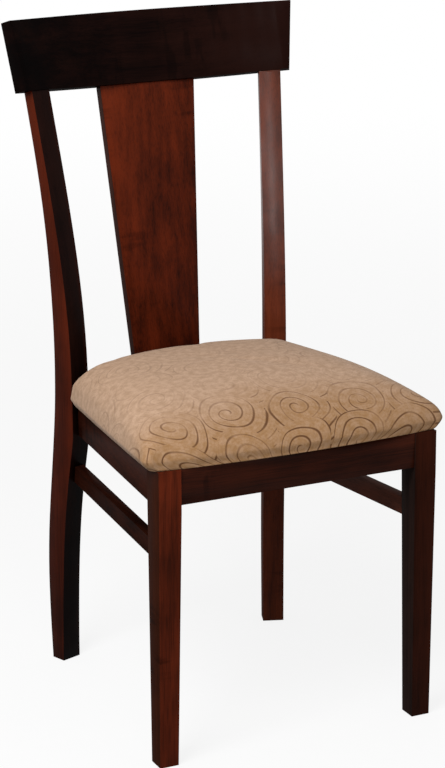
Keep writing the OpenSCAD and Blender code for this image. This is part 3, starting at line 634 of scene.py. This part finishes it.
points, faces, index = [], [], {}
for j in range(COUNT):
    for i in range(COUNT):
        p = patch(i, j)
        index[i, j] = len(points)
        points.append(Vector((p.x, p.y, top_height(p))))
for j in range(COUNT - 1):
    for i in range(COUNT - 1):
        faces.append((index[i, j], index[i + 1, j], index[i + 1, j + 1], index[i, j + 1]))
rim = [index[k] for k in loop]
previous = rim
for draw, height in rows:
    current = []
    for k in rim:
        p = drawn(Vector(points[k][:2]), draw)
        current.append(len(points))
        points.append(Vector((p.x, p.y, height)))
    for a in range(len(rim)):
        b = (a + 1) % len(rim)
        faces.append((previous[b], previous[a], current[a], current[b]))
    previous = current
faces.append(tuple(previous[::-1]))
print("skin of", len(points), "points and", len(faces), "faces")

# %% Where each point was on the flat cloth
PARTS = 24


def flat_cloth():
    """Plan position, pushed out by the fabric's length beyond its plan, for every point of the skin."""
    flat = []
    for j in range(COUNT):
        for i in range(COUNT):
            plan = Vector(points[index[i, j]][:2])
            run, last = 0.0, Vector((CROWN.x, CROWN.y, CROWN_HEIGHT))
            for k in range(1, PARTS + 1):
                q = CROWN.lerp(plan, k / PARTS)
                here = Vector((q.x, q.y, top_height(q)))
                run += (here - last).length
                last = here
            away = plan - CROWN
            flat.append(CROWN + away.normalized() * run if away.length > 1e-6 else CROWN.copy())
    for row in range(len(rows)):
        start = len(flat)
        for a, k in enumerate(rim):
            above = k if row == 0 else start - len(rim) + a
            here = start + a
            outward = (flat[k] - CROWN).normalized()
            flat.append(flat[above] + outward * (points[here] - points[above]).length)
    return flat


cloth_place = flat_cloth()
cloth_width = max(p.x for p in cloth_place) - min(p.x for p in cloth_place)
print("the cloth is about", round(cloth_width * 1000), "mm wide flat")

# %% Make the cushion's mesh
mesh = bpy.data.meshes.new("seat_cushion")
mesh.from_pydata([on_chair(*p) for p in points], [], faces)
cloth_map = mesh.uv_layers.new(name="cloth")
for corner in mesh.loops:
    cloth_map.data[corner.index].uv = cloth_place[corner.vertex_index]
for face in mesh.polygons:
    face.use_smooth = True
mesh.validate()
cushion = bpy.data.objects.new("seat_cushion", mesh)
bpy.context.scene.collection.objects.link(cushion)
print("cushion", len(mesh.vertices), "points")

# %% [markdown]
# ## Letting the fabric find its place
#
# Foam pushes the cover out from inside, and the staples hold it underneath. Blender's cloth does the
# same: the rows under the panel are pinned, the rest is pushed by a light pressure for twenty
# frames, and the fabric stretches and creases a little, mostly at the corners. It starts at the
# shape that was measured. Foam is firm, so no point may end more than two millimetres from where it
# began, and the seat keeps that shape.

# %% Simulate the cover
FRAMES, LIMIT = 20, 0.002


def settle(piece):
    """Runs the cloth, then keeps at most LIMIT of each point's movement. Returns the farthest move."""
    body = piece.data
    start = [v.co.copy() for v in body.vertices]
    held = piece.vertex_groups.new(name="stapled")
    held.add(list(range(COUNT * COUNT + len(rim) * (OUTSIDE_ROWS - 2), len(start))), 1.0, "REPLACE")
    cloth = piece.modifiers.new("cloth", "CLOTH")
    cloth.settings.quality = 6
    cloth.settings.mass = 0.3
    cloth.settings.tension_stiffness = cloth.settings.compression_stiffness = 40
    cloth.settings.shear_stiffness = 20
    cloth.settings.bending_stiffness = 2
    cloth.settings.use_pressure = True
    cloth.settings.uniform_pressure_force = 4
    cloth.settings.shrink_min = -0.012
    cloth.settings.vertex_group_mass = "stapled"
    cloth.settings.effector_weights.gravity = 0
    cloth.collision_settings.use_collision = False
    scene = bpy.context.scene
    for number in range(1, FRAMES + 1):
        scene.frame_set(number)
    moved = piece.evaluated_get(bpy.context.evaluated_depsgraph_get()).data
    ends = [v.co.copy() for v in moved.vertices]
    piece.modifiers.remove(cloth)
    scene.frame_set(1)
    farthest = 0.0
    for vertex, a, b in zip(body.vertices, start, ends):
        step = b - a
        farthest = max(farthest, step.length)
        if step.length > 0:
            vertex.co = a + step.normalized() * LIMIT * math.tanh(step.length / LIMIT)
    return farthest


print("the cloth moved up to", round(settle(cushion) * 1000, 1), "mm before the limit")
smooth = cushion.modifiers.new("smooth", "SUBSURF")
smooth.levels = smooth.render_levels = 1

# %% [markdown]
# ## The seat's fabric
#
# The cover is a tan, short-piled cloth with loose brown scrolls drawn over it. Scrolls like these are
# a common pattern, and they can be worked out from one formula. They stand in rows from the front
# to the back, each row a little to the side of the last and each scroll a little out of place. The
# distance and the direction from its middle give a spiral, wound to the left or to the right. A row
# nearer the front lies on top: within a disc about its scrolls' middles theirs are the lines that
# show, and outside it those of the row behind. Lines fade in and out along their length as if drawn
# with a dry brush. The lines are painted strong at the front, where the pile is seen against the
# light, and faint towards the back, and the cloth is painted darker and yellower at the front: this
# fade and this darkening are painted light and painted shade.

# %% One row of scrolls
ROW, COLUMN, STAGGER = 0.079, 0.097, 0.15
RING, DISC, LINE = 0.0155, 0.049, 0.0008
FRONT_HEM = cloth_place[COUNT * COUNT + len(rim) * (OUTSIDE_ROWS - 1) + COUNT // 2].y
print("on the flat cloth the front edge lies at", round(FRONT_HEM * 1000), "mm")


def scroll(cloth, x, y, row):
    """The scroll of a row that is nearest to a point: how far its middle is, and its turns there."""
    column = (x / COLUMN - row * STAGGER).nearest()
    chances = cloth.add("ShaderNodeTexWhiteNoise", {"noise_dimensions": "2D"},
                        {"Vector": cloth.point(column, row, 0)}, output="Color")
    chance, other, third = cloth.axes(chances)
    dx = x - (column + row * STAGGER + (chance - 0.5) * 0.10) * COLUMN
    dy = y - (row + (other - 0.5) * 0.16) * ROW
    radius = (dx * dx + dy * dy) ** 0.5
    angle = cloth.add("ShaderNodeMath", {"operation": "ARCTAN2"}, {0: dy, 1: dx}) / (2 * math.pi)
    hand = cloth.step(third, 0.49, 0.51, -1.0, 1.0)
    return radius, radius / RING - angle * hand + (chance + other)


# %% Tan cloth with scrolls
def scroll_cloth(name):
    cloth = Finish(name)
    flat = cloth.add("ShaderNodeUVMap", {"uv_map": "cloth"})
    bend = cloth.add("ShaderNodeTexNoise", values={"Vector": flat, "Scale": 9.0, "Detail": 1.0},
                     output="Color")
    x, y, _ = cloth.axes(flat - (0.0, FRONT_HEM + 0.007, 0.0)
                         + (bend - (0.5, 0.5, 0.5)) * (0.040, 0.040, 0.0))
    row = (y / ROW).floor()
    radius, turns = scroll(cloth, x, y, row)
    far_radius, far_turns = scroll(cloth, x, y, row + 1)
    on_top = radius.below(DISC)
    radius = far_radius + (radius - far_radius) * on_top
    turns = far_turns + (turns - far_turns) * on_top
    from_line = abs(turns.fraction() - 0.5) * RING
    width = LINE + cloth.step(cloth.noise(flat * 24, detail=2), 0.36, 0.66, 0.0, LINE)
    line = 1 - cloth.step(from_line / width, 0.4, 1.5)
    brush = cloth.step(cloth.noise(flat * 17, detail=1), 0.36, 0.56, 0.30, 1.0)
    inside = cloth.step(radius, 0.003, 0.006)
    across, depth, _ = cloth.axes(flat - (0.0, FRONT_HEM, 0.0))
    patches = cloth.step(cloth.noise(flat * 11, detail=1), 0.45, 0.65)
    uneven = (cloth.noise(flat * 8, detail=1) - 0.5) * 0.10
    # Painted light and shade: this mask is 1 at the front of the seat, where the lines are painted
    # strong and the cloth darker.
    front = cloth.step(depth + abs(across) * 0.10 + uneven, 0.05, 0.18, 1.0, 0.0)
    ink = line * brush * inside * (front + (1 - front) * (0.08 + patches * 0.26))
    strokes = cloth.step(abs((turns * 3).fraction() - 0.5), 0.0, 0.35, 1.0, 0.0)
    mottle = cloth.noise(flat * 95, detail=5, roughness=0.75)
    flecks = cloth.step(cloth.noise(flat * 190, detail=4, roughness=0.65), 0.56, 0.70)
    pile = cloth.noise(flat * 1400, detail=2)
    ground = cloth.mix(cloth.step(mottle, 0.36, 0.64), paint(172, 140, 113), paint(195, 162, 136))
    ground = cloth.mix(flecks * 0.45, ground, paint(126, 96, 70))
    # Painted shade: the cloth darkens and yellows towards the front of the seat.
    ground = cloth.mix(front * (1.10 - mottle * 1.0), ground, paint(150, 108, 60))
    ground = cloth.mix(strokes * inside * (front * 0.07 + 0.06), ground, paint(116, 82, 52))
    colour = cloth.mix(ink * 0.86, ground, paint(84, 49, 24))
    surface = cloth.bump(pile * 0.5 - ink * 0.6 + mottle * 0.5, 0.0008, 0.6)
    return cloth.show(Base_Color=colour, Roughness=0.86 + pile * 0.1, Normal=surface,
                      Specular_IOR_Level=0.15, Sheen_Weight=0.08, Sheen_Roughness=0.4)


cushion.data.materials.append(scroll_cloth("seat_scroll_cloth"))
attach(cushion, "root")
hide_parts("seat_cover", "seat_foam")
print("the cushion replaces the cover and the foam")

# %% [markdown]
# ## Studio
#
# The picture shows the chair cut out on white, lit softly. A large lamp to the left and above, in
# front of the chair, is the main light, and a small weak one stands straighter in front. The floor is
# a big plane. A mid-grey floor throws little light up into the chair. To the camera, and in
# reflections, a pale surface is shown in its place, mixed with plain white light, of which there is
# more the farther the floor is from the chair. What is left of the surface keeps the chair's soft
# shadow. The same switch makes the empty space behind it white.

# %% Floor
def background_switch(graph):
    """1 on the rays that show a background, 0 on those that light the chair."""
    camera, gloss, glass = (graph.add("ShaderNodeLightPath", output=name)
                            for name in ("Is Camera Ray", "Is Glossy Ray", "Is Transmission Ray"))
    return camera.larger(gloss).larger(glass)


def mix_shaders(graph, share, first, second):
    return graph.add("ShaderNodeMixShader", values={0: share, 1: first, 2: second})


REACH, WHITE = 30, (1, 1, 1)
square = [(-REACH, -REACH, 0), (REACH, -REACH, 0), (REACH, REACH, 0), (-REACH, REACH, 0)]
floor_mesh = bpy.data.meshes.new("floor")
floor_mesh.from_pydata(square, [], [(0, 1, 2, 3)])
floor = bpy.data.objects.new("floor", floor_mesh)
bpy.context.scene.collection.objects.link(floor)
floor_finish = Finish("pale_floor")
place = floor_finish.place()
grit = floor_finish.noise(place * 40, detail=3)
floor_finish.show(Base_Color=floor_finish.mix(grit, paint(238, 238, 238), paint(244, 244, 244)),
                  Roughness=0.9, Specular_IOR_Level=0.0)
pale = Socket(floor_finish, floor_finish.shader.outputs[0])
white = floor_finish.add("ShaderNodeEmission", values={"Color": WHITE, "Strength": 1.0})
grey = floor_finish.add("ShaderNodeBsdfDiffuse", values={"Color": (0.35, 0.35, 0.35)})
away = floor_finish.add("ShaderNodeVectorMath", {"operation": "LENGTH"}, {0: place}, output="Value")
seen = mix_shaders(floor_finish, floor_finish.step(away, 0.6, 5.0, 0.86, 1.0), pale, white)
seen = mix_shaders(floor_finish, background_switch(floor_finish), grey, seen)
floor_finish.connect(floor_finish.tree.nodes["Material Output"].inputs["Surface"], seen)
floor_mesh.materials.append(floor_finish.material)
print("the floor's finish has", len(floor_finish.tree.nodes), "nodes")

# %% Sky and lamps
world = bpy.data.worlds.new("studio")
world.use_nodes = True
bpy.context.scene.world = world
sky = Graph(world.node_tree)
dim = sky.tree.nodes["Background"]
sky.connect(dim.inputs["Color"], WHITE)
sky.connect(dim.inputs["Strength"], 0.35)
white = sky.add("ShaderNodeBackground", values={"Color": WHITE, "Strength": 1.0})
seen = mix_shaders(sky, background_switch(sky), Socket(sky, dim.outputs[0]), white)
sky.connect(sky.tree.nodes["World Output"].inputs["Surface"], seen)
SEAT_MIDDLE = Vector((0, 0, 0.5))


def lamp(name, place, size, power):
    """A square soft lamp that looks at the seat."""
    data = bpy.data.lights.new(name, "AREA")
    data.size, data.energy = size, power
    thing = bpy.data.objects.new(name, data)
    thing.location = place
    thing.rotation_euler = (SEAT_MIDDLE - Vector(place)).to_track_quat("-Z", "Y").to_euler()
    thing.visible_camera = False
    bpy.context.scene.collection.objects.link(thing)


lamp("key", (-1.55, -1.05, 2.3), 1.2, 58)
lamp("front", (-0.75, -2.9, 1.5), 0.7, 9)
bpy.context.scene.view_settings.view_transform = "Standard"
print("lamps:", ", ".join(light.name for light in bpy.data.lights))
